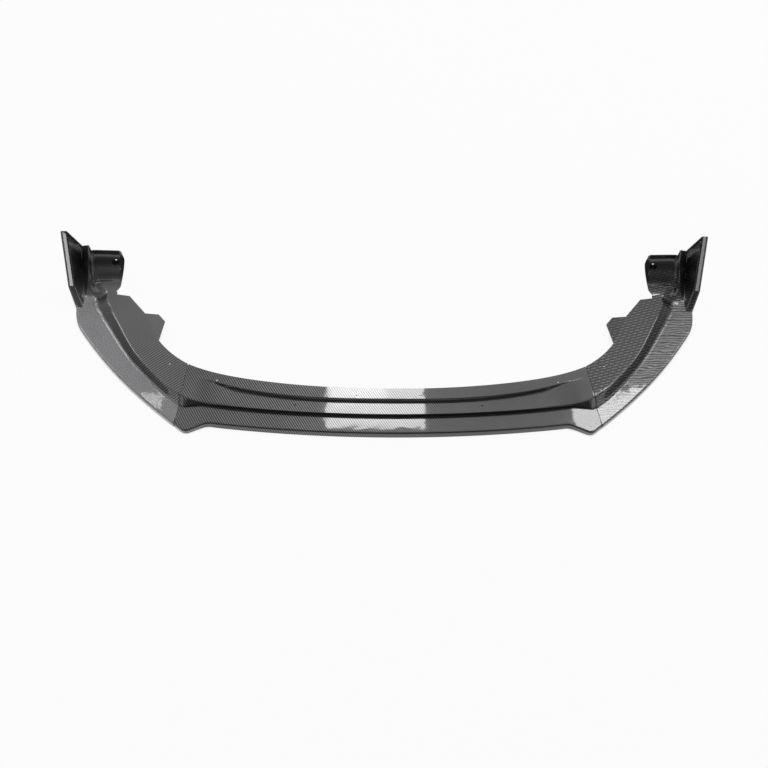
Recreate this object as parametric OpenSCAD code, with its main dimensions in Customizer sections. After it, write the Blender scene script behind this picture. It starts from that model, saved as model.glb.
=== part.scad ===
// Front splitter lip: a centre moulding and two side mouldings with upright end fins.
// Left and right are as seen from the front of the car: +X is right, +Y runs rearwards, +Z is up.

/* [Overall] */
// Width across the tips of the two end fins
overall_w = 1802; // [1700:2:1900]
// From the front of the nose to the tips of the fins
overall_d = 631; // [610:1:660]
// Height of the fin tips above the rim's lower edge
fin_top = 150; // [135:1:170]
// Wall of every moulding
wall = 3; // [2.4:0.1:3.6]

/* [Centre moulding] */
// Height of the rim that is turned down at the front
rim_h = 15; // [13:0.5:18]
// Radius of the rim's upper edge
rim_r = 4; // [3.6:0.1:5]
// How far the rim's lower edge is tucked in at the corners and along the arms
rim_tuck = 4; // [0:0.5:6]
// Depth of the front band at the middle
front_band = 57; // [50:1:66]
// Depth of the middle band at the middle
mid_band = 43.6; // [38:0.2:50]
// Depth of the rear band at the middle
rear_band = 40.4; // [36:0.2:48]
// Height of the first riser
step1_h = 9; // [6:0.5:11]
// Height of the second riser
step2_h = 9; // [6:0.5:11]
// Run of the second riser, which leans back
step2_run = 3; // [1:0.5:5]
// How far the nose bows forward of the line through its notches
nose_bow = 31; // [24:1:38]
// How far each front corner stands out of the bow
corner_out = 39; // [34:1:42]
// Extra sweep of the second riser towards its ends
step2_sweep = 52; // [46:1:58]
// Sweep of the rear edge from the middle to the seam
rear_sweep = 87; // [80:1:94]

/* [Side mouldings] */
// Width of a side moulding from its seam corner to the fin's tip
side_w = 358; // [340:1:380]
// How far the fin's tip stands outside its foot
fin_lean = 49; // [40:1:56]
// Depth from the seam corner to the foot of the fin
arm_d = 438; // [420:1:450]
// Width of the low outer blade
blade_w = 60.5; // [56:0.5:68]
// Extra width of the blade ahead of the fin
blade_swell = 11.5; // [4:0.5:14]
// Width of the small bevel that leads up to the ridge line
ridge_w = 5; // [3:0.5:8]
// Height of the ridge line where the blade meets the slope
ridge_h = 2.5; // [1.5:0.5:4]
// Width of the slope at the seam
slope_seam_w = 19; // [16:1:24]
// Width of the slope where it is narrowest
slope_mid_w = 12.5; // [10:0.5:16]
// Width of the slope at the foot of the upright
slope_rear_w = 29; // [25:1:33]
// Downward bend of the small ear on the inner edge, in degrees
ear_bend = 10; // [4:1:16]

/* [Upright] */
// Height of the upright next to the fin
upright_h = 124; // [112:1:132]
// Height of the lower pad that takes the arch screw
pad_h = 105; // [98:1:110]
// Depth of the pad's recess at its outer end
pad_recess = 6; // [3:0.5:8]
// Width of the fin's front face
fin_w = 17; // [14:0.5:19]
// Width of the screw cup in the pad
cup_w = 22; // [18:0.5:24]
// Height of the screw cup
cup_h = 15; // [12:0.5:16]
// Depth of the screw cup's floor behind the pad
cup_depth = 10; // [8:0.5:13]
// Flare of the pad's inner border
flare_w = 9; // [5:0.5:11]

/* [Screw holes] */
// Diameter of the screw holes in the bands
hole_d = 5.5; // [4:0.1:6.5]
// Distance of the inner rear holes from the middle
hole_inner_x = 82; // [70:1:95]
// Distance of the outer rear holes inwards from the seam corners
hole_outer_in = 100; // [90:1:108]
// Distance of the middle band's holes from the middle
hole_mid_x = 239; // [225:1:255]
// Distance of the side mouldings' holes outwards from the seam corners
hole_side_out = 28; // [24:1:36]
// Distance of the side mouldings' holes rearwards from the seam corners
hole_side_back = 200; // [190:1:210]

/* [Seam joint] */
// Gap between two mouldings at a seam
seam_gap = 0.3; // [0.2:0.1:0.6]
// Thickness of the joint flange under each edge of a seam
joint_t = 3; // [2.4:0.1:4]
// Height of the joint flanges' lower edge above the rim's lower edge
joint_foot = 3; // [2:0.5:4]
// Thread diameter of the joint bolts
bolt_d = 6; // [5:0.5:6]
// Clearance of a bolt in its holes, on the diameter
bolt_play = 0.6; // [0.4:0.1:1]
// Distance between the two bolts of a seam
bolt_pitch = 44; // [36:1:50]
// Height of the bolts above the rim's lower edge
bolt_z = 17; // [15.5:0.5:18]

/* [Hidden] */
$fn = 32;

nose_y = -5;                 // Y of the nose, with the front corners near Y = 0
frame_y = nose_y + overall_d / 2;
fin_x = overall_w / 2;
seam_half = fin_x - side_w;  // half of the front edge's length from seam to seam
notch_x = 0.81 * seam_half;  // the bow is measured at the notches
seam_y = 24;                 // Y of a seam's front end
seam_tilt = 6;               // a seam leans inwards by this angle in plan
deck_z = rim_h + step1_h + step2_h;
tip_y = nose_y + overall_d;
arm_w = side_w - fin_lean;   // seam corner to fin foot, sideways
foot_x = seam_half + arm_w;
foot_y = seam_y + arm_d;
column_x = foot_x - 7.5;     // outer edge of the column at its top
upright_y = tip_y - 31;      // face of the upright at its top
pad_edge_x = seam_half + 0.654 * arm_w;
over = 6;                    // how far sheets run past the planes that trim them

function smooth(a, b, x) = let (t = min(1, max(0, (x - a) / (b - a)))) t * t * (3 - 2 * t);
function mix(a, b, t) = a + (b - a) * t;
function total(list) = [for (v = list) 1] * list;
function soft_lookup(x, table, reach) = total([for (k = [-2:2]) lookup(x + k * reach / 2, table)]) / 5;
function unit(v) = v / max(norm(v), 1e-9);
function bezier(p, t) =
    pow(1 - t, 3) * p[0] + 3 * t * pow(1 - t, 2) * p[1] + 3 * t * t * (1 - t) * p[2] + pow(t, 3) * p[3];

// Guides of the centre moulding, as functions of the distance x from the middle

function corner_offset(x) = soft_lookup(x, [
    [seam_half - 82, 0], [seam_half - 31, -corner_out], [seam_half, -corner_out * 0.43],
    [seam_half + 20, 0]], 9);
function bow(x) = nose_y + nose_bow * pow(x / notch_x, 2);
function front_y(x) = bow(x) + corner_offset(x);
function dip(x) = soft_lookup(x, [[seam_half - 56, 0], [seam_half - 14, -14], [seam_half, -6],
    [seam_half + 20, -6]], 6);
function step1_y(x) = bow(x) + front_band + dip(x);
function step2_y(x) = nose_y + front_band + mid_band + step2_sweep * pow(x / notch_x, 2.8);
function rear_y(x) = nose_y + front_band + mid_band + rear_band + rear_sweep
    * (0.8 * pow(x / seam_half, 2.1) + 0.2 * pow(x / seam_half, 8));
function near_seam(x) = smooth(seam_half - 62, seam_half - 1, x);
function band_z(x) = mix(rim_h + step1_h, deck_z, near_seam(x));
function foot_z(x) = rim_h + step1_h + step2_h * smooth(seam_half - 143, seam_half - 45, x);
function riser_z(x) = mix(rim_h + step1_h, rim_h + ridge_h,
    pow(min(1, max(0, (x - seam_half + 200) / 200)), 2));
function bevel(x) = ridge_w * smooth(seam_half - 26, seam_half - 2, x);
function slope_w(x) = mix(3, slope_seam_w, near_seam(x));
function tuck(x) = rim_tuck * smooth(seam_half - 120, seam_half - 40, x);

// Section of the centre moulding at distance x, from the rim's lower edge to the rear edge
function rim_section(y, t) = [
    [y + t, 0], [y, rim_h - rim_r], [y + 0.3 * rim_r, rim_h - 0.3 * rim_r], [y + rim_r, rim_h],
    [y + fin_w, rim_h], [y + fin_w + 3, rim_h], [y + fin_w + 6, rim_h]];
function section(x) = let (
        y0 = front_y(x), y1 = step1_y(x), y2 = step2_y(x), y3 = rear_y(x), w = slope_w(x), e = y1 + 1 + w,
        r = riser_z(x), z = band_z(x), f = foot_z(x))
    concat(rim_section(y0, tuck(x)), [
        [(y0 + fin_w + 6 + y1) / 2, rim_h], [y1 - bevel(x), rim_h], [y1 + 1, r],
        [y1 + 1 + w / 3, mix(r, z, 1 / 3)], [y1 + 1 + w * 2 / 3, mix(r, z, 2 / 3)],
        [e, z], [(e + y2) / 2, (z + f) / 2], [y2, f], [y2 + step2_run, deck_z], [y3, deck_z]]);

function seam_x(y) = seam_half - tan(seam_tilt) * (y - seam_y);
// One station of the centre moulding; side is -1 or 1
function station(x, side) = [for (p = section(x)) [side * x * seam_x(p[0]) / seam_half, p[0], p[1]]];

middle_xs = [for (k = [1:10]) (seam_half - 103) * k / 10];
corner_xs = [for (k = [1:17]) seam_half - 103 + 103 * k / 16];
centre_xs = concat(middle_xs, corner_xs);
centre_grid = concat(
    [for (k = [len(centre_xs) - 1:-1:0]) station(centre_xs[k], -1)],
    [station(0, 1)],
    [for (x = centre_xs) station(x, 1)]);

// Guides of a side moulding, from the seam (v = 0) to the fin's foot (v = 1)

bend_v = 0.82;
arm_start = [seam_half, seam_y];
function arm(p) = [arm_start[0] + arm_w * p[0], arm_start[1] + arm_d * p[1]];
blade_curve = [arm([0, 0]), arm([0.374, 0.25]), arm([0.628, 0.46]), arm([0.914, 0.79])];
bend_curve = [arm([0.914, 0.79]), arm([0.957, 0.84]), arm([0.986, 0.9]), arm([1, 1])];
function outer(v) = v <= bend_v ? bezier(blade_curve, v / bend_v)
    : bezier(bend_curve, (v - bend_v) / (1 - bend_v));
function heading(v) = let (a = mix(90 + seam_tilt, 158, v)) [cos(a), sin(a)];
function blade_at(v) = mix(step1_y(seam_half) - front_y(seam_half), blade_w, smooth(0, 0.12, v))
    + blade_swell * (smooth(0.4, 0.85, v) - 1.1 * smooth(0.88, 1, v));
function slope_at(v) = slope_mid_w + (slope_seam_w - slope_mid_w) * pow(max(0, 1 - v / 0.2), 2)
    + (slope_rear_w - slope_mid_w) * pow(max(0, (v - 0.3) / 0.7), 1.6);
// The deck runs past its trimmed edge, in shares of the arm's width
function deck_at(v) = arm_w * (mix(0.657, 0.557, smooth(0, 0.3, v)) + 0.039 * smooth(0.35, 0.6, v)
    - 0.24 * pow(max(0, (v - 0.88) / 0.12), 2));

function arm_station(v) = let (
        o = outer(v), h = heading(v), b = blade_at(v), w = slope_at(v), s = b + 1 + w, d = deck_at(v),
        reach = concat(rim_section(0, rim_tuck),
            [[(fin_w + 6 + b) / 2, rim_h], [b - ridge_w, rim_h]],
            [for (k = [0:3]) [b + 1 + w * k / 3, mix(rim_h + ridge_h, deck_z, k / 3)]],
            [for (f = [0.25, 0.5, 0.75, 1]) [mix(s, d, f), deck_z]],
            [[d + 3, deck_z]]))
    [for (p = reach) [o[0] + p[0] * h[0], o[1] + p[0] * h[1], p[1]]];

// The seam stations follow the centre moulding's section, and the deck runs past the trimmed edge
function seam_station(x) = let (s = station(x, 1), n = len(s), e = s[n - 1], q = s[n - 5])
    concat([for (k = [0:n - 5]) s[k]],
        [for (f = [0.25, 0.5, 0.75, 1]) mix(q, [e[0], e[1] + over, deck_z], f)],
        [[e[0], e[1] + over + 3, deck_z]]);

// The upright: every guide sweeps up from the last arm station, by an angle a from 0 to 90
function sweep(from, to, a) = [mix(from[0], to[0], sin(a)), mix(from[1], to[1], sin(a)),
    mix(from[2], to[2], 1 - cos(a))];
function sweep_to(from, to, turned, a) = let (p = sweep(from, to, a))
    [mix(from[0], to[0], smooth(0, turned, a)), p[1], p[2]];

root = arm_station(1);
fin_foot = arm([1, 1]);
fin_kink = [fin_x - fin_lean / 2, mix(foot_y, tip_y, 0.3), mix(rim_h, fin_top, 0.25)];
fin_tip = [fin_x, tip_y, fin_top];
function lead(a) = let (w = (sin(a) + 1 - cos(a)) / 2)
    w < 0.25 ? mix([fin_foot[0], fin_foot[1], rim_h], fin_kink, w / 0.25)
    : mix(fin_kink, fin_tip, (w - 0.25) / 0.75);

// A groove runs up between the fin and the upright; a small facet tops the fin's inner face
groove_top = [column_x, upright_y + 12, upright_h - 12];
function groove(a) = sweep(root[6], groove_top, a) + sin(2 * a) * [7, 8, -7 * smooth(0, 30, a)];
function facet_share(a) = mix(0.5, 0.12, smooth(0, 30, a)) + 0.23 * smooth(60, 66, a)
    + 0.57 * smooth(74, 90, a);
function facet(a) = let (f = facet_share(a), p = lead(a) - [fin_w, 0, 0], g = groove(a))
    [mix(p[0], g[0], f), mix(p[1], g[1], f), mix(p[2], g[2], pow(f, 1.4))];

// The pad is the front face of the upright's inner part, with a recess that fades inwards
pad_left = column_x - 44.5;
function pad_at(k, x, turned, deep, a) = let (
        s = root[k], run = upright_y - s[1], rise = pad_h - s[2],
        p = sweep_to(s, [x, upright_y, pad_h], turned, a),
        out = unit([0, rise * sin(a), -run * cos(a)]) * deep * (smooth(26, 32, a) - 0.7 * smooth(79, 90, a)))
    p + out;
function pad_inner_x(a) = pad_edge_x + 4 - 5 * smooth(5, 18, a) - 7 * smooth(12, 70, a) + 3 * smooth(66, 90, a);
function pad_row(k, a) = let (p = pad_at(12, pad_left, 35, pad_recess * (1 - 0.2 * k), a))
    [mix(p[0], pad_inner_x(a), k / 4), p[1], p[2]];
function flare(a) = let (p = pad_row(4, a))
    p - [2 + (flare_w - 2) * smooth(4, 22, a) - 4 * smooth(66, 90, a), -3 * sin(a), 5 * smooth(60, 90, a)];

function upright_station(a) = let (l = lead(a), r = rim_r)
    concat(
        [sweep(root[0], [foot_x + 12, upright_y, 0], a), [l[0], l[1], l[2] - r],
         [l[0] - 0.3 * r, l[1], l[2] - 0.3 * r], [l[0] - r, l[1], l[2]], [l[0] - fin_w, l[1], l[2]],
         facet(a), groove(a),
         sweep_to(root[7], [column_x - 15.5, upright_y + 2, upright_h - 2], 20, a),
         sweep_to(root[8], [column_x - 20, upright_y, upright_h], 32, a),
         sweep_to(root[9], [column_x - 23.5, upright_y, upright_h - 2], 32, a),
         pad_at(10, column_x - 28.5, 30, 0, a), pad_at(11, column_x - 32, 30, pad_recess, a)],
        [for (k = [0:4]) pad_row(k, a)],
        [flare(a)]);

arm_vs = [for (k = [1:28]) k / 28];
upright_as = [for (k = [1:18]) 90 * k / 18];
side_grid = concat(
    [seam_station(seam_half - over), seam_station(seam_half)],
    [for (v = arm_vs) arm_station(v)],
    [for (a = upright_as) upright_station(a)]);

// A sheet of even wall below a grid of points: each point drops along the mean normal of its facets

function facet_normal(g, i, j) = unit(cross(g[i + 1][j + 1] - g[i][j], g[i][j + 1] - g[i + 1][j]));
function facets_round(g, i, j) = [
    for (di = [-1, 0]) for (dj = [-1, 0])
        if (i + di >= 0 && i + di < len(g) - 1 && j + dj >= 0 && j + dj < len(g[0]) - 1)
            facet_normal(g, i + di, j + dj)];
function below(g, i, j, t) = let (n = facets_round(g, i, j), m = unit(total(n)))
    g[i][j] - m * t / max(0.6, min([for (q = n) q * m]));
function flat(g) = [for (row = g) for (p = row) p];

module sheet(g, t) {
    rows = len(g);
    cols = len(g[0]);
    size = rows * cols;
    under = [for (i = [0:rows - 1]) [for (j = [0:cols - 1]) below(g, i, j, t)]];
    function top(i, j) = i * cols + j;
    function bottom(i, j) = size + i * cols + j;
    function quad(a, b, c, d) = [[a, b, c], [a, c, d]];
    faces = concat(
        [for (i = [0:rows - 2]) for (j = [0:cols - 2])
            each quad(top(i, j), top(i, j + 1), top(i + 1, j + 1), top(i + 1, j))],
        [for (i = [0:rows - 2]) for (j = [0:cols - 2])
            each quad(bottom(i, j), bottom(i + 1, j), bottom(i + 1, j + 1), bottom(i, j + 1))],
        [for (i = [0:rows - 2]) each quad(top(i, 0), top(i + 1, 0), bottom(i + 1, 0), bottom(i, 0))],
        [for (i = [0:rows - 2]) each quad(
            top(i, cols - 1), bottom(i, cols - 1), bottom(i + 1, cols - 1), top(i + 1, cols - 1))],
        [for (j = [0:cols - 2]) each quad(top(0, j), bottom(0, j), bottom(0, j + 1), top(0, j + 1))],
        [for (j = [0:cols - 2]) each quad(
            top(rows - 1, j), top(rows - 1, j + 1), bottom(rows - 1, j + 1), bottom(rows - 1, j))]);
    polyhedron(concat(flat(g), flat(under)), faces);
}

// The right-hand seam's own frame: X across the seam, outwards, and Y along it from its front end
module at_seam() {
    translate([seam_half, seam_y, 0]) rotate([0, 0, seam_tilt]) children();
}
// All that lies past one face of the seam's gap: side 1 is outside it, -1 is towards the middle
module past_seam(side) {
    span = rear_y(seam_half) - seam_y;
    reach = 0.4 * span;
    start = side > 0 ? -seam_gap / 2 : seam_gap / 2 - reach;
    at_seam() translate([start, -reach, -over]) cube([reach, span + 2 * reach, deck_z + 2 * over]);
}
// The flange hangs from the middle of the wall, from the rim to the rear edge
seam_section = [for (p = section(seam_half)) [(p[0] - seam_y) / cos(seam_tilt), p[1] - wall / 2]];
module joint_flange(side) {
    last = len(seam_section) - 1;
    outline = concat([for (k = [4:last]) seam_section[k] - (k == last ? [2, 0] : [0, 0])],
        [[seam_section[last][0] - 2, joint_foot], [seam_section[4][0], joint_foot]]);
    at_seam() translate([side > 0 ? 0 : -joint_t - seam_gap / 2, 0, 0]) rotate([90, 0, 90])
        linear_extrude(joint_t + seam_gap / 2) polygon(outline);
}
bolt_ys = [for (k = [-1, 0]) seam_section[len(seam_section) - 1][0] - 22 + k * bolt_pitch];
module at_bolts() {
    at_seam() for (y = bolt_ys) translate([0, y, bolt_z]) rotate([0, 90, 0]) children();
}
module bolt_holes() {
    at_bolts() translate([0, 0, -10]) cylinder(d = bolt_d + bolt_play, h = 20);
}

module screw_hole(x, y) {
    translate([x, y, -1]) cylinder(d = hole_d, h = deck_z + 2);
}
function mid_hole_y(x) = (step1_y(x) + step2_y(x)) / 2;

module centre_shell() {
    difference() {
        union() {
            sheet(centre_grid, wall);
            joint_flange(-1);
            mirror([1, 0, 0]) joint_flange(-1);
        }
        for (m = [0, 1]) mirror([m, 0, 0]) {
            past_seam(1);
            bolt_holes();
            screw_hole(hole_inner_x, step2_y(hole_inner_x) + 14);
            screw_hole(seam_half - hole_outer_in, step2_y(seam_half - hole_outer_in) + 16);
            screw_hole(hole_mid_x, mid_hole_y(hole_mid_x));
        }
    }
}

// Inner edge of the side moulding's deck: a short curve, the ear's fold line and a stepped notch
edge_start = [seam_x(rear_y(seam_half)), rear_y(seam_half)];
ear_fold = [arm([0.21, 0.657]), arm([0.369, 0.904])];
ear_tips = [arm([0.184, 0.848]), arm([0.25, 0.91])];
notch_tip = arm([0.531, 1.064]);
pad_foot = [pad_edge_x - 3, root[12][1] + 1];
module deck_trim() {
    way = ear_fold[0] - edge_start;
    curve = [for (k = [0:6]) bezier([edge_start, edge_start + [0.28 * way[0], 0.18 * way[1]],
        edge_start + [0.67 * way[0], 0.5 * way[1]], ear_fold[0]], k / 6)];
    far = 0.2 * arm_w;
    translate([0, 0, deck_z - 10]) linear_extrude(15) polygon(concat(
        [edge_start - [far, 0.7 * far]], curve, [ear_fold[1], notch_tip, pad_foot, pad_foot + [0, 14],
         pad_foot + [-14, 45], [edge_start[0] - far, pad_foot[1] + 45]]));
}
module ear() {
    fold = ear_fold[1] - ear_fold[0];
    turn = atan2(fold[1], fold[0]);
    local = [for (p = ear_tips) let (d = p - ear_fold[0])
        [d[0] * cos(turn) + d[1] * sin(turn), d[1] * cos(turn) - d[0] * sin(turn)]];
    ends = [0.5, norm(fold) - 0.5];
    translate([ear_fold[0][0], ear_fold[0][1], deck_z - 0.5]) rotate([0, 0, turn]) rotate([-ear_bend, 0, 0])
        translate([0, 0, -wall]) linear_extrude(wall)
            polygon([[ends[0], -1.5], [ends[1], -1.5], [ends[1], 0], local[1], local[0], [ends[0], 0]]);
}

// The screw cup is a blind well behind the pad, with a round hole high in its floor
cup_x = pad_edge_x + 7;
cup_z = pad_h - 33;
cup_hole_z = cup_z + cup_h / 6;
cup_a = acos(1 - (cup_z - deck_z) / (pad_h - deck_z));
cup_y = mix(root[12][1], upright_y, sin(cup_a));
cup_tilt = atan2((pad_h - deck_z) * sin(cup_a), (upright_y - root[12][1]) * cos(cup_a));
function slot_outline(w, h) = [for (k = [0, 1]) for (i = [0:10]) let (a = 180 * k - 90 + 18 * i)
    [(1 - 2 * k) * (w - h) / 2 + h / 2 * cos(a), h / 2 * sin(a)]];
module cup_prism(grow, start, end) {
    translate([cup_x, cup_y + start, cup_z]) rotate([-90, 0, 0])
        linear_extrude(end - start) polygon(slot_outline(cup_w + 2 * grow, cup_h + 2 * grow));
}
module cup_boss() {
    difference() {
        cup_prism(2.5, -20, cup_depth + 2.5);
        translate([cup_x, cup_y, cup_z]) rotate([cup_tilt, 0, 0])
            translate([-30, -40, -pad_recess * 0.4 - wall / 2]) cube([60, 80, 60]);
    }
}
module cup_well() {
    cup_prism(0, -40, cup_depth);
    translate([cup_x, cup_y, cup_hole_z]) rotate([-90, 0, 0]) cylinder(d = hole_d, h = cup_depth + 5);
}

module side_shell() {
    difference() {
        union() {
            difference() {
                sheet(side_grid, wall);
                deck_trim();
            }
            ear();
            joint_flange(1);
            cup_boss();
        }
        past_seam(-1);
        bolt_holes();
        screw_hole(seam_half + hole_side_out, seam_y + hole_side_back);
        cup_well();
    }
}

washer_t = 1.6;
head_h = 4;
nut_h = 5;
stack = joint_t + seam_gap / 2;
module bolts() {
    at_bolts() {
        translate([0, 0, stack + washer_t]) cylinder(d = bolt_d * 1.92, h = head_h, $fn = 6);
        translate([0, 0, -stack - washer_t - nut_h - 1]) cylinder(d = bolt_d,
            h = 2 * (stack + washer_t) + nut_h + 1.5);
    }
}
module washers() {
    at_bolts() for (m = [0, 1]) mirror([0, 0, m]) translate([0, 0, stack]) difference() {
        cylinder(d = 2 * bolt_d, h = washer_t);
        translate([0, 0, -1]) cylinder(d = bolt_d + bolt_play, h = washer_t + 2);
    }
}
module nuts() {
    at_bolts() translate([0, 0, -stack - washer_t - nut_h]) difference() {
        cylinder(d = bolt_d * 1.92, h = nut_h, $fn = 6);
        translate([0, 0, -1]) cylinder(d = bolt_d + 0.1, h = nut_h + 2);
    }
}

module placed(m) {
    translate([0, -frame_y, 0]) mirror([m, 0, 0]) children();
}
module centre_moulding() { color("#36383c") placed(0) centre_shell(); }
module right_side_moulding() { color("#44474c") placed(0) side_shell(); }
module left_side_moulding() { color("#44474c") placed(1) side_shell(); }
module right_seam_bolts() { color("silver") placed(0) bolts(); }
module left_seam_bolts() { color("silver") placed(1) bolts(); }
module right_seam_washers() { color("lightgrey") placed(0) washers(); }
module left_seam_washers() { color("lightgrey") placed(1) washers(); }
module right_seam_nuts() { color("darkgrey") placed(0) nuts(); }
module left_seam_nuts() { color("darkgrey") placed(1) nuts(); }

centre_moulding();
right_side_moulding();
left_side_moulding();
right_seam_bolts();
left_seam_bolts();
right_seam_washers();
left_seam_washers();
right_seam_nuts();
left_seam_nuts();
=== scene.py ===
"""Front splitter lip in a pale studio.

The three mouldings are made again as fine sheets with rounded edges, from the same guides as the
part's source. The seam bolts, washers and nuts stay as they are in the frame and get a zinc finish.
Sizes of the part are in millimetres; materials, lights and camera are in metres.
"""

import math

import bmesh
import bpy
import numpy as np
from mathutils import Matrix, Vector


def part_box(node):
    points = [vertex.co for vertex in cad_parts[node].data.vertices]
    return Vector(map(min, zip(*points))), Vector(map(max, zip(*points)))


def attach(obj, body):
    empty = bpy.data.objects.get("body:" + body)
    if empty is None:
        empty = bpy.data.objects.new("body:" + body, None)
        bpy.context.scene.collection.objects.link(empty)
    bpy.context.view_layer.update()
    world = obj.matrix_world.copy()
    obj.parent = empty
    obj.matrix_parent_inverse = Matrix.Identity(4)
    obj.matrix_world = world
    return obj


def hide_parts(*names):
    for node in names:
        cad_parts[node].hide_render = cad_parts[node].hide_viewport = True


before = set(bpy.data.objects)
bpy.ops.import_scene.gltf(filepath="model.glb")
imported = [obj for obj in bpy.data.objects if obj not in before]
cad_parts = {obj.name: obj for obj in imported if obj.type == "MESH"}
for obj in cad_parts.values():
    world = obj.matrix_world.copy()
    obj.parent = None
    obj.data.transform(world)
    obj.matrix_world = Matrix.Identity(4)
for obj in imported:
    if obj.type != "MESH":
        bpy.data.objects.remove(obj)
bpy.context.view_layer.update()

MM = 0.001

# Overall sizes of the part
OVERALL_W = 1802
OVERALL_D = 631
FIN_TOP = 150
WALL = 3

# Centre moulding
RIM_H = 15
RIM_R = 4
RIM_TUCK = 4
FRONT_BAND = 57
MID_BAND = 43.6
REAR_BAND = 40.4
STEP1_H = 9
STEP2_H = 9
STEP2_RUN = 3
NOSE_BOW = 31
CORNER_OUT = 39
STEP2_SWEEP = 52
REAR_SWEEP = 87

# Side mouldings
SIDE_W = 358
FIN_LEAN = 49
ARM_D = 438
BLADE_W = 60.5
BLADE_SWELL = 11.5
RIDGE_W = 5
RIDGE_H = 2.5
SLOPE_SEAM_W = 19
SLOPE_MID_W = 12.5
SLOPE_REAR_W = 29
EAR_BEND = 10

# Upright
UPRIGHT_H = 124
PAD_H = 105
PAD_RECESS = 6
FIN_W = 17
CUP_W = 22
CUP_H = 15
CUP_DEPTH = 10
CUP_WALL = 2.5
FLARE_W = 9

# Screw holes
HOLE_D = 5.5
HOLE_INNER_X = 82
HOLE_OUTER_IN = 100
HOLE_MID_X = 239
HOLE_SIDE_OUT = 28
HOLE_SIDE_BACK = 200

# Seam joint
SEAM_GAP = 0.3
JOINT_T = 3
JOINT_FOOT = 3
JOINT_END = 2
BOLT_D = 6
BOLT_PLAY = 0.6
BOLT_PITCH = 44
BOLT_END = 22
BOLT_Z = 17

# How far each moulding's worn upper edge stands back from the seam
SEAM_EDGE = 0.9

# Places that follow from the sizes
NOSE_Y = -5
FRAME_Y = NOSE_Y + OVERALL_D / 2
FIN_X = OVERALL_W / 2
SEAM_HALF = FIN_X - SIDE_W
NOTCH_X = 0.81 * SEAM_HALF
SEAM_Y = 24
SEAM_TILT = 6
DECK_Z = RIM_H + STEP1_H + STEP2_H
TIP_Y = NOSE_Y + OVERALL_D
ARM_W = SIDE_W - FIN_LEAN
FOOT_X = SEAM_HALF + ARM_W
FOOT_Y = SEAM_Y + ARM_D
COLUMN_X = FOOT_X - 7.5
UPRIGHT_Y = TIP_Y - 31
PAD_EDGE_X = SEAM_HALF + 0.654 * ARM_W
OVER = 6


def sin(degrees):
    return math.sin(math.radians(degrees))


def cos(degrees):
    return math.cos(math.radians(degrees))


def smooth(a, b, x):
    t = min(1, max(0, (x - a) / (b - a)))
    return t * t * (3 - 2 * t)


def mix(a, b, t):
    return a + (b - a) * t


def point(*values):
    return np.array(values, float)


def soft_lookup(x, table, reach):
    xs, ys = zip(*table)
    return sum(np.interp(x + k * reach / 2, xs, ys) for k in range(-2, 3)) / 5


def unit(v):
    return v / max(np.linalg.norm(v), 1e-9)


def bezier(p, t):
    return (1 - t) ** 3 * p[0] + 3 * t * (1 - t) ** 2 * p[1] + 3 * t * t * (1 - t) * p[2] + t ** 3 * p[3]


# Guides of the centre moulding, as functions of the distance x from the middle

def corner_offset(x):
    return soft_lookup(x, [(SEAM_HALF - 82, 0), (SEAM_HALF - 31, -CORNER_OUT),
                           (SEAM_HALF, -CORNER_OUT * 0.43), (SEAM_HALF + 20, 0)], 9)


def bow(x):
    return NOSE_Y + NOSE_BOW * (x / NOTCH_X) ** 2


def front_y(x):
    return bow(x) + corner_offset(x)


def dip(x):
    return soft_lookup(x, [(SEAM_HALF - 56, 0), (SEAM_HALF - 14, -14), (SEAM_HALF, -6),
                           (SEAM_HALF + 20, -6)], 6)


def step1_y(x):
    return bow(x) + FRONT_BAND + dip(x)


def step2_y(x):
    return NOSE_Y + FRONT_BAND + MID_BAND + STEP2_SWEEP * (x / NOTCH_X) ** 2.8


def rear_y(x):
    share = x / SEAM_HALF
    sweep_share = 0.8 * share ** 2.1 + 0.2 * share ** 8
    return NOSE_Y + FRONT_BAND + MID_BAND + REAR_BAND + REAR_SWEEP * sweep_share


def rim_section(y, tuck):
    """The turned-down rim and the narrow strip behind it, which runs up into the fin."""
    return [(y + tuck, 0), (y, RIM_H - RIM_R), (y + 0.3 * RIM_R, RIM_H - 0.3 * RIM_R), (y + RIM_R, RIM_H),
            (y + FIN_W, RIM_H), (y + FIN_W + 3, RIM_H), (y + FIN_W + 6, RIM_H)]


def section(x):
    """The centre moulding's (y, z) points at distance x, from the rim's lower edge to the rear."""
    near_seam = smooth(SEAM_HALF - 62, SEAM_HALF - 1, x)
    y0, y1, y2, y3 = front_y(x), step1_y(x), step2_y(x), rear_y(x)
    run_out = min(1, max(0, (x - SEAM_HALF + 200) / 200)) ** 2
    riser = mix(RIM_H + STEP1_H, RIM_H + RIDGE_H, run_out)
    bevel = RIDGE_W * smooth(SEAM_HALF - 26, SEAM_HALF - 2, x)
    band = mix(RIM_H + STEP1_H, DECK_Z, near_seam)
    foot = RIM_H + STEP1_H + STEP2_H * smooth(SEAM_HALF - 143, SEAM_HALF - 45, x)
    width = mix(3, SLOPE_SEAM_W, near_seam)
    tuck = RIM_TUCK * smooth(SEAM_HALF - 120, SEAM_HALF - 40, x)
    end = y1 + 1 + width
    return rim_section(y0, tuck) + [
        ((y0 + FIN_W + 6 + y1) / 2, RIM_H), (y1 - bevel, RIM_H), (y1 + 1, riser),
        (y1 + 1 + width / 3, mix(riser, band, 1 / 3)), (y1 + 1 + width * 2 / 3, mix(riser, band, 2 / 3)),
        (end, band), ((end + y2) / 2, (band + foot) / 2), (y2, foot), (y2 + STEP2_RUN, DECK_Z), (y3, DECK_Z)]


def seam_x(y):
    return SEAM_HALF - math.tan(math.radians(SEAM_TILT)) * (y - SEAM_Y)


def station(x, side):
    return [point(side * x * seam_x(y) / SEAM_HALF, y, z) for y, z in section(x)]


# Guides of a side moulding, from the seam (v = 0) to the fin's foot (v = 1)

BEND_V = 0.82


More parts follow.
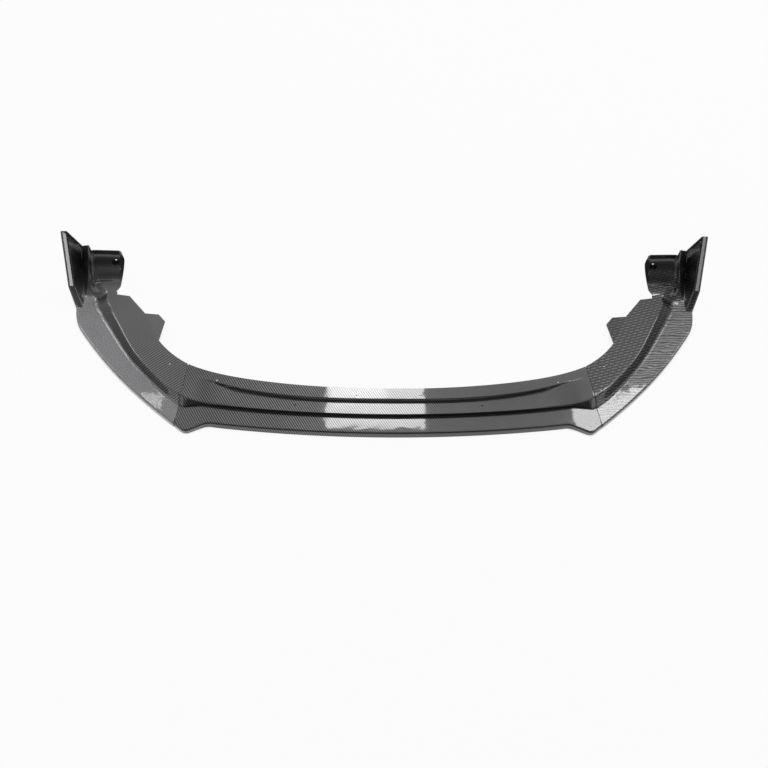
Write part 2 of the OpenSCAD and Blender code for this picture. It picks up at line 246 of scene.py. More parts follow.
def arm(x_share, y_share):
    return point(SEAM_HALF + ARM_W * x_share, SEAM_Y + ARM_D * y_share)


BLADE_CURVE = [arm(0, 0), arm(0.374, 0.25), arm(0.628, 0.46), arm(0.914, 0.79)]
BEND_CURVE = [arm(0.914, 0.79), arm(0.957, 0.84), arm(0.986, 0.9), arm(1, 1)]


def outer(v):
    if v <= BEND_V:
        return bezier(BLADE_CURVE, v / BEND_V)
    return bezier(BEND_CURVE, (v - BEND_V) / (1 - BEND_V))


def arm_station(v):
    start = outer(v)
    heading = mix(90 + SEAM_TILT, 158, v)
    blade = (mix(step1_y(SEAM_HALF) - front_y(SEAM_HALF), BLADE_W, smooth(0, 0.12, v))
             + BLADE_SWELL * (smooth(0.4, 0.85, v) - 1.1 * smooth(0.88, 1, v)))
    slope = (SLOPE_MID_W + (SLOPE_SEAM_W - SLOPE_MID_W) * max(0, 1 - v / 0.2) ** 2
             + (SLOPE_REAR_W - SLOPE_MID_W) * max(0, (v - 0.3) / 0.7) ** 1.6)
    top = blade + 1 + slope
    deck = ARM_W * (mix(0.657, 0.557, smooth(0, 0.3, v)) + 0.039 * smooth(0.35, 0.6, v)
                    - 0.24 * max(0, (v - 0.88) / 0.12) ** 2)
    reach = rim_section(0, RIM_TUCK) + [((FIN_W + 6 + blade) / 2, RIM_H), (blade - RIDGE_W, RIM_H)]
    reach += [(blade + 1 + slope * k / 3, mix(RIM_H + RIDGE_H, DECK_Z, k / 3)) for k in range(4)]
    reach += [(mix(top, deck, f), DECK_Z) for f in (0.25, 0.5, 0.75, 1)]
    reach += [(deck + 3, DECK_Z)]
    return [point(start[0] + r * cos(heading), start[1] + r * sin(heading), z) for r, z in reach]


def seam_station(x):
    """A side moulding starts with the centre moulding's section, and its deck runs past the trimmed edge."""
    s = station(x, 1)
    slope_end = s[-5]
    far = point(s[-1][0], s[-1][1] + OVER, DECK_Z)
    return s[:-4] + [mix(slope_end, far, f) for f in (0.25, 0.5, 0.75, 1)] + [far + point(0, 3, 0)]


# The upright: every guide sweeps up from the last arm station, by an angle a from 0 to 90

def sweep(start, end, a):
    return point(mix(start[0], end[0], sin(a)), mix(start[1], end[1], sin(a)),
                 mix(start[2], end[2], 1 - cos(a)))


def sweep_to(start, end, turned, a):
    p = sweep(start, end, a)
    p[0] = mix(start[0], end[0], smooth(0, turned, a))
    return p


ROOT = arm_station(1)
FIN_FOOT = point(*arm(1, 1), RIM_H)
FIN_KINK = point(FIN_X - FIN_LEAN / 2, mix(FOOT_Y, TIP_Y, 0.3), mix(RIM_H, FIN_TOP, 0.25))
FIN_TIP = point(FIN_X, TIP_Y, FIN_TOP)
GROOVE_TOP = point(COLUMN_X, UPRIGHT_Y + 12, UPRIGHT_H - 12)
PAD_LEFT = COLUMN_X - 44.5


def lead(a):
    w = (sin(a) + 1 - cos(a)) / 2
    if w < 0.25:
        return mix(FIN_FOOT, FIN_KINK, w / 0.25)
    return mix(FIN_KINK, FIN_TIP, (w - 0.25) / 0.75)


def groove(a):
    return sweep(ROOT[6], GROOVE_TOP, a) + sin(2 * a) * point(7, 8, -7 * smooth(0, 30, a))


def facet(a):
    share = mix(0.5, 0.12, smooth(0, 30, a)) + 0.23 * smooth(60, 66, a) + 0.57 * smooth(74, 90, a)
    p = lead(a) - point(FIN_W, 0, 0)
    g = groove(a)
    return point(mix(p[0], g[0], share), mix(p[1], g[1], share), mix(p[2], g[2], share ** 1.4))


def pad_at(k, x, turned, deep, a):
    start = ROOT[k]
    run = UPRIGHT_Y - start[1]
    rise = PAD_H - start[2]
    recess = deep * (smooth(26, 32, a) - 0.7 * smooth(79, 90, a))
    out = unit(point(0, rise * sin(a), -run * cos(a))) * recess
    return sweep_to(start, (x, UPRIGHT_Y, PAD_H), turned, a) + out


def pad_row(k, a):
    p = pad_at(12, PAD_LEFT, 35, PAD_RECESS * (1 - 0.2 * k), a)
    inner = PAD_EDGE_X + 4 - 5 * smooth(5, 18, a) - 7 * smooth(12, 70, a) + 3 * smooth(66, 90, a)
    return point(mix(p[0], inner, k / 4), p[1], p[2])


def flare(a):
    width = 2 + (FLARE_W - 2) * smooth(4, 22, a) - 4 * smooth(66, 90, a)
    return pad_row(4, a) - point(width, -3 * sin(a), 5 * smooth(60, 90, a))


def upright_station(a):
    """From the rim's edge over the fin, the groove and the column to the pad and its flare."""
    p = lead(a)
    r = RIM_R
    fin = [sweep(ROOT[0], (FOOT_X + 12, UPRIGHT_Y, 0), a), p - point(0, 0, r),
           p - point(0.3 * r, 0, 0.3 * r), p - point(r, 0, 0), p - point(FIN_W, 0, 0)]
    column = [facet(a), groove(a),
              sweep_to(ROOT[7], (COLUMN_X - 15.5, UPRIGHT_Y + 2, UPRIGHT_H - 2), 20, a),
              sweep_to(ROOT[8], (COLUMN_X - 20, UPRIGHT_Y, UPRIGHT_H), 32, a),
              sweep_to(ROOT[9], (COLUMN_X - 23.5, UPRIGHT_Y, UPRIGHT_H - 2), 32, a),
              pad_at(10, COLUMN_X - 28.5, 30, 0, a), pad_at(11, COLUMN_X - 32, 30, PAD_RECESS, a)]
    return fin + column + [pad_row(k, a) for k in range(5)] + [flare(a)]


# Sheets: a fine top grid with rounded edges over a plain underside

ROUND_STEPS = 4
# The most of a facet's width that one rounded edge takes
MOST_CUT = 0.42
# The least share of the wall that the underside's mean normal keeps at a sharp edge
LEAST_COSINE = 0.6
# How far from each guide its edge starts to round off; a guide that isn't listed stays a plain line
CENTRE_ROUND = {1: 2, 2: 1.2, 3: 2, 8: 1.2, 9: 1.8, 12: 6, 14: 1.2, 15: 1.8}
SIDE_ROUND = {1: 2, 2: 1.2, 3: 2, 4: 3, 5: 2, 6: 2.5, 7: 3, 8: 2.2, 9: 2.2, 10: 2.2, 11: 1, 12: 5, 16: 2}


def rounded(points, cuts):
    """The polyline with an arc in place of each corner that cuts lists; all get the same count of points."""
    result = []
    for k, p in enumerate(points):
        if k not in cuts:
            result.append(p)
            continue
        back = points[k - 1] - p
        ahead = points[k + 1] - p
        cut_back = min(cuts[k], MOST_CUT * np.linalg.norm(back))
        cut_ahead = min(cuts[k], MOST_CUT * np.linalg.norm(ahead))
        start = p + unit(back) * cut_back
        end = p + unit(ahead) * cut_ahead
        for i in range(ROUND_STEPS + 1):
            t = i / ROUND_STEPS
            result.append((1 - t) ** 2 * start + 2 * t * (1 - t) * p + t * t * end)
    return result


def underside(grid, wall):
    """Each point of the grid dropped by the wall along the mean normal of its facets."""
    across = grid[:-1, 1:] - grid[1:, :-1]
    along = grid[1:, 1:] - grid[:-1, :-1]
    facets = np.cross(along, across)
    facets /= np.maximum(np.linalg.norm(facets, axis=2, keepdims=True), 1e-9)
    rows, cols = grid.shape[:2]
    result = np.zeros_like(grid)
    for i in range(rows):
        for j in range(cols):
            around = facets[max(0, i - 1):i + 1, max(0, j - 1):j + 1].reshape(-1, 3)
            mean = unit(around.sum(axis=0))
            result[i, j] = grid[i, j] - mean * wall / max(LEAST_COSINE, (around @ mean).min())
    return result


def new_object(name, points, faces):
    mesh = bpy.data.meshes.new(name)
    mesh.from_pydata([tuple(p) for p in points], [], faces)
    mesh.validate()
    piece = bpy.data.objects.new(name, mesh)
    bpy.context.scene.collection.objects.link(piece)
    return piece


def sheet(name, stations, cuts):
    """A closed sheet: the rounded grid on top, a plain one a wall below, and faces round the four sides."""
    top = np.array([rounded(s, cuts) for s in stations])
    low = underside(np.array(stations), WALL)
    rows, cols = top.shape[:2]
    low_cols = low.shape[1]

    def t(i, j):
        return i * cols + j

    def b(i, j):
        return rows * cols + i * low_cols + j

    faces = [(t(i, j), t(i, j + 1), t(i + 1, j + 1), t(i + 1, j))
             for i in range(rows - 1) for j in range(cols - 1)]
    faces += [(b(i, j), b(i + 1, j), b(i + 1, j + 1), b(i, j + 1))
              for i in range(rows - 1) for j in range(low_cols - 1)]
    for i in range(rows - 1):
        faces.append((t(i, 0), t(i + 1, 0), b(i + 1, 0), b(i, 0)))
        faces.append((t(i, cols - 1), b(i, low_cols - 1), b(i + 1, low_cols - 1), t(i + 1, cols - 1)))
    for i in (0, rows - 1):
        rim = [t(i, j) for j in range(cols)] + [b(i, j) for j in range(low_cols - 1, -1, -1)]
        faces.append(rim if i else rim[::-1])
    piece = new_object(name, np.vstack([top.reshape(-1, 3), low.reshape(-1, 3)]), faces)
    outward(piece)
    return piece


def outward(piece):
    """All faces of the closed mesh turned outwards."""
    work = bmesh.new()
    work.from_mesh(piece.data)
    bmesh.ops.recalc_face_normals(work, faces=work.faces)
    if work.calc_volume(signed=True) < 0:
        bmesh.ops.reverse_faces(work, faces=work.faces)
    work.to_mesh(piece.data)
    work.free()


# Cutters and joined parts, placed as in the source

def prism(name, outline, low, high, place):
    n = len(outline)
    points = [place @ Vector((x, y, z)) for z in (low, high) for x, y in outline]
    faces = [tuple(range(n)), tuple(range(2 * n - 1, n - 1, -1))]
    faces += [(k, n + k, n + (k + 1) % n, (k + 1) % n) for k in range(n)]
    piece = new_object(name, points, faces)
    outward(piece)
    return piece


def circle(d, steps=48):
    return [(d / 2 * cos(360 * k / steps), d / 2 * sin(360 * k / steps)) for k in range(steps)]


def rectangle(x0, x1, y0, y1):
    return [(x0, y0), (x1, y0), (x1, y1), (x0, y1)]


def slot_outline(w, h):
    steps = 10
    return [((1 - 2 * k) * (w - h) / 2 + h / 2 * cos(180 * k - 90 + 180 * i / steps),
             h / 2 * sin(180 * k - 90 + 180 * i / steps)) for k in (0, 1) for i in range(steps + 1)]


def at(x, y, z):
    return Matrix.Translation((x, y, z))


def turned(degrees, axis):
    return Matrix.Rotation(math.radians(degrees), 4, axis)


SEAM_PLACE = at(SEAM_HALF, SEAM_Y, 0) @ turned(SEAM_TILT, "Z")
MIRROR = Matrix.Scale(-1, 4, (1, 0, 0))


def combine(piece, other, operation):
    """The piece united with the other one, or cut by it; the other one is used up."""
    step = piece.modifiers.new("step", "BOOLEAN")
    step.operation = operation
    step.solver = "MANIFOLD"
    step.object = other
    bpy.context.view_layer.update()
    done = bpy.data.meshes.new_from_object(piece.evaluated_get(bpy.context.evaluated_depsgraph_get()))
    piece.modifiers.clear()
    old = piece.data
    piece.data = done
    bpy.data.meshes.remove(old)
    bpy.data.objects.remove(other)


# A block that takes in all of a moulding past its seam: its width, and its reach along the seam and upwards
BLOCK_W = 80
BLOCK_ALONG = (-80, 340)
BLOCK_UP = (-10, 210)


def past_seam(side, place, back=0.0):
    """All that lies past one face of the seam's gap, and as much of the moulding's own edge as back says."""
    edge = SEAM_GAP / 2 + back
    start = -edge if side > 0 else edge - BLOCK_W
    return prism("past_seam", rectangle(start, start + BLOCK_W, *BLOCK_ALONG), *BLOCK_UP, place @ SEAM_PLACE)


def seam_section():
    return [((y - SEAM_Y) / cos(SEAM_TILT), z - WALL / 2) for y, z in section(SEAM_HALF)]


def joint_flange(side, place):
    line = seam_section()[4:]
    line[-1] = (line[-1][0] - JOINT_END, line[-1][1])
    outline = line + [(line[-1][0], JOINT_FOOT), (line[0][0], JOINT_FOOT)]
    start = 0 if side > 0 else -JOINT_T - SEAM_GAP / 2
    upright = turned(90, "Z") @ turned(90, "X")
    return prism("flange", outline, start, start + JOINT_T + SEAM_GAP / 2, place @ SEAM_PLACE @ upright)


def bolt_holes(place):
    rear = seam_section()[-1][0] - BOLT_END
    return [prism("bolt_hole", circle(BOLT_D + BOLT_PLAY), -10, 10,
                  place @ SEAM_PLACE @ at(0, rear - k * BOLT_PITCH, BOLT_Z) @ turned(90, "Y"))
            for k in (0, 1)]


def screw_hole(x, y):
    return prism("screw_hole", circle(HOLE_D), -1, DECK_Z + 1, at(x, y, 0))


# Where the centre moulding's corner, with its closer stations, starts
CORNER_X = SEAM_HALF - 103


def centre_moulding():
    xs = list(np.linspace(0, CORNER_X, 45)) + list(np.linspace(CORNER_X, SEAM_HALF + OVER, 56))[1:]
    stations = [station(x, -1) for x in xs[:0:-1]] + [station(x, 1) for x in xs]
    piece = sheet("centre_moulding_skin", stations, CENTRE_ROUND)
    outer_x = SEAM_HALF - HOLE_OUTER_IN
    holes = [(HOLE_INNER_X, step2_y(HOLE_INNER_X) + 14), (outer_x, step2_y(outer_x) + 16),
             (HOLE_MID_X, (step1_y(HOLE_MID_X) + step2_y(HOLE_MID_X)) / 2)]
    for side, place in ((1, Matrix.Identity(4)), (-1, MIRROR)):
        combine(piece, past_seam(1, place, SEAM_EDGE), "DIFFERENCE")
        combine(piece, joint_flange(-1, place), "UNION")
        for cutter in [past_seam(1, place)] + bolt_holes(place) + [screw_hole(side * x, y) for x, y in holes]:
            combine(piece, cutter, "DIFFERENCE")
    return piece


EAR_FOLD = [arm(0.21, 0.657), arm(0.369, 0.904)]
EAR_TIPS = [arm(0.184, 0.848), arm(0.25, 0.91)]
NOTCH_TIP = arm(0.531, 1.064)


def deck_trim():
    start = point(seam_x(rear_y(SEAM_HALF)), rear_y(SEAM_HALF))
    way = EAR_FOLD[0] - start
    curve = [start, start + way * (0.28, 0.18), start + way * (0.67, 0.5), EAR_FOLD[0]]
    far = 0.2 * ARM_W
    foot = point(PAD_EDGE_X - 3, ROOT[12][1] + 1)
    outline = [start - point(far, 0.7 * far)] + [bezier(curve, k / 16) for k in range(17)]
    outline += [EAR_FOLD[1], NOTCH_TIP, foot, foot + point(0, 14), foot + point(-14, 45)]
    outline += [point(start[0] - far, foot[1] + 45)]
    return prism("deck_trim", outline, DECK_Z - 10, DECK_Z + 5, Matrix.Identity(4))


def ear():
    fold = EAR_FOLD[1] - EAR_FOLD[0]
    turn = math.degrees(math.atan2(fold[1], fold[0]))
    length = np.linalg.norm(fold)
    tips = [(d[0] * cos(turn) + d[1] * sin(turn), d[1] * cos(turn) - d[0] * sin(turn))
            for d in (p - EAR_FOLD[0] for p in EAR_TIPS)]
    outline = [(0.5, -1.5), (length - 0.5, -1.5), (length - 0.5, 0), tips[1], tips[0], (0.5, 0)]
    place = at(*EAR_FOLD[0], DECK_Z - 0.5) @ turned(turn, "Z") @ turned(-EAR_BEND, "X")
    return prism("ear", outline, -WALL, 0, place)


CUP_X = PAD_EDGE_X + 7
CUP_Z = PAD_H - 33
CUP_A = math.degrees(math.acos(1 - (CUP_Z - DECK_Z) / (PAD_H - DECK_Z)))
CUP_Y = mix(ROOT[12][1], UPRIGHT_Y, sin(CUP_A))
CUP_TILT = math.degrees(math.atan2((PAD_H - DECK_Z) * sin(CUP_A), (UPRIGHT_Y - ROOT[12][1]) * cos(CUP_A)))


def cup_prism(outline, start, end):
    return prism("cup", outline, start, end, at(CUP_X, CUP_Y, CUP_Z) @ turned(-90, "X"))


def cup_boss():
    """The cup's outer wall, trimmed flush with the pad's face."""
    boss = cup_prism(slot_outline(CUP_W + 2 * CUP_WALL, CUP_H + 2 * CUP_WALL), -20, CUP_DEPTH + CUP_WALL)
    low = -PAD_RECESS * 0.4 - WALL / 2
    tilted = at(CUP_X, CUP_Y, CUP_Z) @ turned(CUP_TILT, "X")
    combine(boss, prism("front", rectangle(-30, 30, -40, 40), low, low + 60, tilted), "DIFFERENCE")
    return boss


def side_moulding():
    here = Matrix.Identity(4)
    stations = [seam_station(x) for x in (SEAM_HALF - OVER, SEAM_HALF - 3, SEAM_HALF)]
    stations += [arm_station(k / 84) for k in range(1, 85)]
    stations += [upright_station(90 * k / 54) for k in range(1, 55)]
    piece = sheet("right_side_moulding_skin", stations, SIDE_ROUND)
    combine(piece, deck_trim(), "DIFFERENCE")
    combine(piece, past_seam(-1, here, SEAM_EDGE), "DIFFERENCE")
    for part in (ear(), joint_flange(1, here), cup_boss()):
        combine(piece, part, "UNION")
    cup_hole = [(x, y - CUP_H / 6) for x, y in circle(HOLE_D)]
    cutters = [past_seam(-1, here)] + bolt_holes(here)
    cutters += [screw_hole(SEAM_HALF + HOLE_SIDE_OUT, SEAM_Y + HOLE_SIDE_BACK),
                cup_prism(slot_outline(CUP_W, CUP_H), -40, CUP_DEPTH), cup_prism(cup_hole, 0, CUP_DEPTH + 5)]
    for cutter in cutters:
        combine(piece, cutter, "DIFFERENCE")
    return piece


def mirrored(piece, name):
    twin = piece.copy()
    twin.data = piece.data.copy()
    twin.name = twin.data.name = name
    bpy.context.scene.collection.objects.link(twin)
    twin.data.transform(MIRROR)
    twin.data.flip_normals()
    return twin


SHARP_ANGLE = 32


def finish_piece(piece, node, material):
    """Moves the piece into the row's frame and its node's box, shades it and puts it in its node's place."""
    piece.data.transform(Matrix.Scale(MM, 4) @ at(0, -FRAME_Y, 0))
    low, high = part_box(node)
    for vertex in piece.data.vertices:
        vertex.co = [min(max(c, least), most) for c, least, most in zip(vertex.co, low, high)]
    piece.data.materials.clear()
    piece.data.materials.append(material)
    for face in piece.data.polygons:
        face.use_smooth = True
        face.material_index = 0
    piece.data.set_sharp_from_angle(angle=math.radians(SHARP_ANGLE))
    weights = piece.modifiers.new("even_shading", "WEIGHTED_NORMAL")
    weights.keep_sharp = True
    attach(piece, "root")
    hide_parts(node)


# Materials

def feed(tree, socket, value):
    """Sets the socket to a number or colour, or links it to another node's output."""
    if isinstance(value, (int, float, tuple)):
        socket.default_value = value
    else:
        tree.links.new(value, socket)


def math_node(tree, operation, a, b):
    node = tree.nodes.new("ShaderNodeMath")
    node.operation = operation
    feed(tree, node.inputs[0], a)
    feed(tree, node.inputs[1], b)
    return node.outputs[0]


class Nodes:
    """Short calls for one material's node tree."""

    def __init__(self, name):
        self.material = bpy.data.materials.new(name)
        self.material.use_nodes = True
        self.tree = self.material.node_tree
        self.shader = self.tree.nodes["Principled BSDF"]

    def add(self, kind, **values):
        node = self.tree.nodes.new(kind)
        for key, value in values.items():
            setattr(node, key, value)
        return node

    def join(self, source, target):
        self.tree.links.new(source, target)

    def math(self, operation, a, b=0.0):
        return math_node(self.tree, operation, a, b)

    def blend(self, share, a, b):
        node = self.add("ShaderNodeMix", data_type="RGBA")
        for socket, value in zip((node.inputs[0], node.inputs[6], node.inputs[7]), (share, a, b)):
            feed(self.tree, socket, value)
        return node.outputs[2]

    def ramp(self, value, start, end, top):
        """A smooth rise from 0 at start to top at end."""
        node = self.add("ShaderNodeMapRange", interpolation_type="SMOOTHSTEP")
        self.join(value, node.inputs["Value"])
        node.inputs["From Min"].default_value = start
        node.inputs["From Max"].default_value = end
        node.inputs["To Max"].default_value = top
        return node.outputs["Result"]

    def noise(self, vector, scale, detail=2.0):
        node = self.add("ShaderNodeTexNoise")
        node.inputs["Scale"].default_value = scale
        node.inputs["Detail"].default_value = detail
        self.join(vector, node.inputs["Vector"])
        return node.outputs["Fac"]


# Heights in metres: the blade's top and where its painted sheen has gone, and where the upright's painted
# shade sets in
BLADE_TOP = 0.0165
BLADE_FADE = 0.019
UPRIGHT_START = 0.034
UPRIGHT_FULL = 0.06

# How much painted shade darkens a tow along its edges, how far a fade goes, and how far the phase of waves
# and streaks wanders
TOW_EDGE_SHADE = 0.35
FADE_SHARE = 0.7
WAVE_WANDER = 6.0
STREAK_WANDER = 4.0
NEAR_BLACK = (0.004, 0.004, 0.005, 1)


def grey(value):
    return (value, value, value * 1.03, 1)


def twill(n, flat, tow, turn, rib):
    """Where the warp lies on top, as 0 or 1, and how high each tow's crown stands."""
    lay = n.add("ShaderNodeMapping")
    lay.inputs["Rotation"].default_value = (0, 0, math.radians(turn))
    lay.inputs["Scale"].default_value = (1 / tow, 1 / tow, 1)
    n.join(flat, lay.inputs["Vector"])
    cell = n.add("ShaderNodeSeparateXYZ")
    n.join(lay.outputs[0], cell.inputs[0])
    u = cell.outputs["X"]
    v = cell.outputs["Y"]
    step = n.math(rib, n.math("FLOOR", u), n.math("FLOOR", v))
    over = n.math("LESS_THAN", n.math("FLOORED_MODULO", step, 4.0), 1.5)
    crown_u = n.math("ABSOLUTE", n.math("SINE", n.math("MULTIPLY", u, math.pi)))
    crown_v = n.math("ABSOLUTE", n.math("SINE", n.math("MULTIPLY", v, math.pi)))
    crown = n.math("ADD", n.math("MULTIPLY", crown_u, over),
                   n.math("MULTIPLY", crown_v, n.math("SUBTRACT", 1.0, over)))
    return over, crown


def bump(n, height, strength, distance, target):
    node = n.add("ShaderNodeBump")
    node.inputs["Strength"].default_value = strength
    node.inputs["Distance"].default_value = distance
    n.join(height, node.inputs["Height"])
    n.join(node.outputs[0], n.shader.inputs[target])


def weave_material(name, tow, turn, rib, light, dark, fade=None, wave=None, blade=None, upright=None):
    """A lacquered twill: each tow passes over two and under two, and the rib runs along one diagonal.

    tow is its width in metres, turn its angle, and rib says which diagonal. The pattern may have
    fade: an axis and the two places between which it fades to a plainer tone;
    wave: a slow second rib, as cycles a metre along X and Y and its strength;
    blade: painted sheen on the low blade: its tone, its share, its grain's scale along X and Y, and streaks a
    metre or 0;
    upright: painted shade on the upright: its tone and its share.
    """
    n = Nodes(name)
    place = n.add("ShaderNodeTexCoord").outputs["Object"]
    split = n.add("ShaderNodeSeparateXYZ")
    n.join(place, split.inputs[0])
    across = split.outputs["X"]
    height = split.outputs["Z"]
    along = n.math("ADD", split.outputs["Y"], height)
    flat = n.add("ShaderNodeCombineXYZ")
    n.join(across, flat.inputs["X"])
    n.join(along, flat.inputs["Y"])
    over, crown = twill(n, flat.outputs[0], tow, turn, rib)
    shade = n.blend(over, dark, light)
    # Painted shade: each tow darkens towards its edges, where its rounded crown falls away
    shade = n.blend(n.math("MULTIPLY", n.math("SUBTRACT", 1.0, crown), TOW_EDGE_SHADE), shade, NEAR_BLACK)
    if wave:
        phase = n.math("ADD", n.math("MULTIPLY", across, 2 * math.pi * wave[0]),
                       n.math("MULTIPLY", along, 2 * math.pi * wave[1]))
        phase = n.math("ADD", phase, n.math("MULTIPLY", n.noise(place, 30.0), WAVE_WANDER))
        crest = n.math("MULTIPLY", n.math("ADD", n.math("SINE", phase), 1.0), wave[2] / 2)
        shade = n.blend(crest, shade, dark)
    if fade:
        axis, start, end = fade
        calm = n.ramp(across if axis == "X" else along, start, end, FADE_SHARE)
        plain = tuple(0.35 * a + 0.65 * b for a, b in zip(light, dark))
        shade = n.blend(calm, shade, plain)
    cloud = n.noise(place, 9.0, 3.0)
    shade = n.blend(n.math("MULTIPLY", n.math("SUBTRACT", cloud, 0.35), 0.5), shade, dark)
    # Painted sheen: below BLADE_FADE the low blade turns paler, keeping its own grain or streaks
    if blade:
        painted_tone, share, scale, streaks = blade
        stretch = n.add("ShaderNodeMapping")
        stretch.inputs["Scale"].default_value = scale
        n.join(flat.outputs[0], stretch.inputs["Vector"])
        grain = n.ramp(n.noise(stretch.outputs[0], 1.0, 3.0), 0.35, 0.65, 1.0)
        if streaks:
            phase = n.math("ADD", n.math("MULTIPLY", along, 2 * math.pi * streaks),
                           n.math("MULTIPLY", grain, STREAK_WANDER))
            grain = n.math("ADD", n.math("MULTIPLY", n.math("SINE", phase), 0.5), 0.5)
        shade = n.blend(n.ramp(height, BLADE_FADE, BLADE_TOP, share), shade, n.blend(grain, dark, painted_tone))
    # Painted shade: upwards from UPRIGHT_START the upright is blended towards a plain dark tone
    if upright:
        painted_tone, share = upright
        shade = n.blend(n.ramp(height, UPRIGHT_START, UPRIGHT_FULL, share), shade, painted_tone)
    n.join(shade, n.shader.inputs["Base Color"])
    bump(n, crown, 0.2, 0.0003, "Normal")
    bump(n, n.noise(place, 26.0), 0.12, 0.001, "Coat Normal")
    n.shader.inputs["Metallic"].default_value = 0.75
    n.shader.inputs["Roughness"].default_value = 0.35
    n.shader.inputs["Coat Weight"].default_value = 1.0
    n.shader.inputs["Coat Roughness"].default_value = 0.035
    n.shader.inputs["Coat IOR"].default_value = 1.5
    return n.material


def zinc_material():
    """Zinc plating: bright grey with fine cloudy spangle."""
    n = Nodes("zinc_steel")
    place = n.add("ShaderNodeTexCoord").outputs["Object"]
    cloud = n.noise(place, 900.0, 4.0)
    n.join(n.blend(cloud, (0.46, 0.47, 0.48, 1), (0.72, 0.72, 0.7, 1)), n.shader.inputs["Base Color"])
    n.join(n.math("ADD", n.math("MULTIPLY", cloud, 0.2), 0.22), n.shader.inputs["Roughness"])
    n.shader.inputs["Metallic"].default_value = 1.0
    return n.material


centre = centre_moulding()
right = side_moulding()
left = mirrored(right, "left_side_moulding_skin")
weave_centre = weave_material("weave_centre", 0.002, 19, "ADD", grey(0.2), grey(0.01), fade=("X", -0.05, 0.2))
weave_right = weave_material("weave_right", 0.0033, 25, "SUBTRACT", grey(0.17), grey(0.02),
                             wave=(36, 68, 0.75), blade=(grey(0.4), 0.5, (18, 45, 1), 110),
                             upright=(grey(0.06), 0.65))
weave_left = weave_material("weave_left", 0.0026, 0, "SUBTRACT", grey(0.28), grey(0.04),
                            fade=("Y", -0.06, 0.12), wave=(160, 100, 0.6),
                            blade=(grey(0.56), 0.75, (600, 600, 1), 0), upright=(grey(0.03), 0.5))
finish_piece(centre, "centre_moulding", weave_centre)
finish_piece(right, "right_side_moulding", weave_right)
finish_piece(left, "left_side_moulding", weave_left)

zinc = zinc_material()
for name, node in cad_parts.items():
    if "seam" in name:
        node.data.materials.clear()
        node.data.materials.append(zinc)


# Studio: a pale floor that stays white around its shadow, a world bright above and behind, and softboxes

FLOOR_GLOW = 0.95
SHADE_REACH = 0.05


def floor_material():
    """Pale and matt for light; white to the camera and in reflections, except close under the part."""
    n = Nodes("pale_floor")
    n.shader.inputs["Base Color"].default_value = (0.82, 0.82, 0.82, 1)
    n.shader.inputs["Roughness"].default_value = 0.9
    glow = n.add("ShaderNodeEmission")
    glow.inputs["Strength"].default_value = 1.0
    ray = n.add("ShaderNodeLightPath")
    seen = n.math("MAXIMUM", ray.outputs["Is Camera Ray"],
                  n.math("MAXIMUM", ray.outputs["Is Glossy Ray"], ray.outputs["Is Transmission Ray"]))
    openness = n.add("ShaderNodeAmbientOcclusion", samples=12)
    openness.inputs["Distance"].default_value = SHADE_REACH
    clear = n.ramp(openness.outputs["AO"], 0.3, 0.5, FLOOR_GLOW)
    both = n.add("ShaderNodeMixShader")
    n.join(n.math("MULTIPLY", seen, clear), both.inputs[0])
    n.join(n.shader.outputs[0], both.inputs[1])
    n.join(glow.outputs[0], both.inputs[2])
    n.join(both.outputs[0], n.tree.nodes["Material Output"].inputs["Surface"])
    return n.material


FLOOR_HALF = 14.0
FLOOR_Z = -0.0005
floor = new_object("floor", [(x * FLOOR_HALF, y * FLOOR_HALF, FLOOR_Z)
                             for x, y in ((-1, -1), (1, -1), (1, 1), (-1, 1))], [(0, 1, 2, 3)])
floor.data.materials.append(floor_material())

WORLD_LOW = 0.06
WORLD_BACK = 1.1
WORLD_TOP = 0.2
WORLD_SIDE = 0.1


def studio_world():
    """White to the camera; as a light it is bright overhead and behind the part, and dark low in front."""
    world = bpy.data.worlds.new("studio")
    bpy.context.scene.world = world
    world.use_nodes = True
    tree = world.node_tree
    back = tree.nodes["Background"]
    back.inputs["Color"].default_value = (1, 1, 1, 1)
    way = tree.nodes.new("ShaderNodeTexCoord")
    split = tree.nodes.new("ShaderNodeSeparateXYZ")
    tree.links.new(way.outputs["Generated"], split.inputs[0])

    def calc(operation, a, b=0.0):
        return math_node(tree, operation, a, b)

    rising = calc("MULTIPLY", split.outputs["Y"], calc("MAXIMUM", split.outputs["Z"], 0.0))
    behind = calc("MULTIPLY", rising, WORLD_BACK)
    above = calc("MULTIPLY", split.outputs["Z"], WORLD_TOP)
    beside = calc("MULTIPLY", calc("ABSOLUTE", split.outputs["X"]), WORLD_SIDE)
    level = calc("MAXIMUM", calc("ADD", calc("ADD", behind, above), beside), WORLD_LOW)
    seen = tree.nodes.new("ShaderNodeLightPath").outputs["Is Camera Ray"]
    tree.links.new(calc("MAXIMUM", level, seen), back.inputs["Strength"])


studio_world()


def area_light(name, place, target, width, depth, radiance):
    lamp = bpy.data.lights.new(name, "AREA")
    lamp.shape = "RECTANGLE"
    lamp.size = width
    lamp.size_y = depth
    lamp.energy = radiance * math.pi * width * depth
    item = bpy.data.objects.new(name, lamp)
    item.location = place
    item.rotation_euler = (Vector(target) - Vector(place)).to_track_quat("-Z", "Y").to_euler()
    bpy.context.scene.collection.objects.link(item)


def softbox(name, x0, x1, y0, y1, radiance, height=2.2):
    """A level softbox over the rectangle from (x0, y0) to (x1, y1), facing down."""
    middle = ((x0 + x1) / 2, (y0 + y1) / 2)
    area_light(name, (*middle, height), (*middle, 0), x1 - x0, y1 - y0, radiance)


# The bright band across the middle and its brighter core
softbox("centre_softbox", -0.21, 0.265, 1.748, 2.15, 10.3)
softbox("centre_highlight", -0.19, 0.08, 1.885, 2.0, 4.0, 2.21)
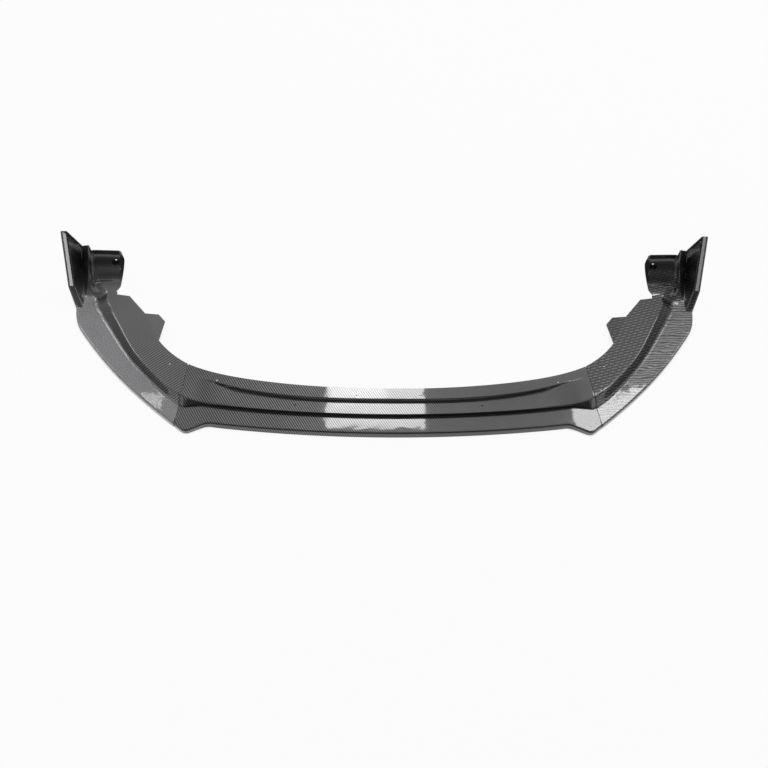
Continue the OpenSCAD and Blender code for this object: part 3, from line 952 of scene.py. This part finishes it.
# The bright right corner, whose far edge steps back from x0 to x1
for x0, x1, far in ((0.98, 1.1, 1.905), (1.1, 1.16, 1.925), (1.16, 1.22, 1.955), (1.22, 1.28, 1.99),
                    (1.28, 1.38, 2.03)):
    softbox("corner_softbox", x0, x1, 1.62, far, 9.3)
# The small patch on the left blade, the light on both blades and on the fins' front edges
softbox("left_patch", -1.11, -1.01, 1.85, 1.96, 5.0)
softbox("left_softbox", -3.0, -1.75, 1.35, 2.1, 3.2)
softbox("right_softbox", 1.85, 3.1, 1.35, 2.1, 3.2)
softbox("left_fin_light", -1.52, -1.25, -1.35, -0.95, 9.0)
softbox("right_fin_light", 1.38, 1.62, -1.35, -0.85, 4.5)
# Dim panels low in front, left and right
area_light("right_panel", (2.8, -0.7, 1.4), (-0.8, 0.25, 0.1), 1.8, 1.4, 1.1)
area_light("left_panel", (-2.8, -0.7, 1.4), (0.8, 0.25, 0.1), 1.8, 1.4, 0.9)

# Camera, at the photograph's own viewing angle

CAMERA_PLACE = (-0.101537, -2.597971, 2.474874)
CAMERA_YAW = 2.127
CAMERA_ELEVATION = 45.0
CAMERA_ROLL = 1.827
FOCAL_PIXELS = 1333.681
FRAME_PIXELS = 768
SENSOR_MM = 36


def photo_camera():
    ahead = Vector((sin(CAMERA_YAW) * cos(CAMERA_ELEVATION), cos(CAMERA_YAW) * cos(CAMERA_ELEVATION),
                    -sin(CAMERA_ELEVATION)))
    level = Vector((cos(CAMERA_YAW), -sin(CAMERA_YAW), 0))
    upward = level.cross(ahead)
    right_way = cos(CAMERA_ROLL) * level + sin(CAMERA_ROLL) * upward
    up_way = -sin(CAMERA_ROLL) * level + cos(CAMERA_ROLL) * upward
    data = bpy.data.cameras.new("photo_camera")
    data.sensor_width = SENSOR_MM
    data.lens = FOCAL_PIXELS / FRAME_PIXELS * SENSOR_MM
    data.clip_end = 40
    item = bpy.data.objects.new("photo_camera", data)
    bpy.context.scene.collection.objects.link(item)
    turn = Matrix((right_way, up_way, -ahead)).transposed().to_4x4()
    item.matrix_world = Matrix.Translation(CAMERA_PLACE) @ turn
    bpy.context.scene.camera = item


photo_camera()
bpy.context.scene.view_settings.view_transform = "Standard"
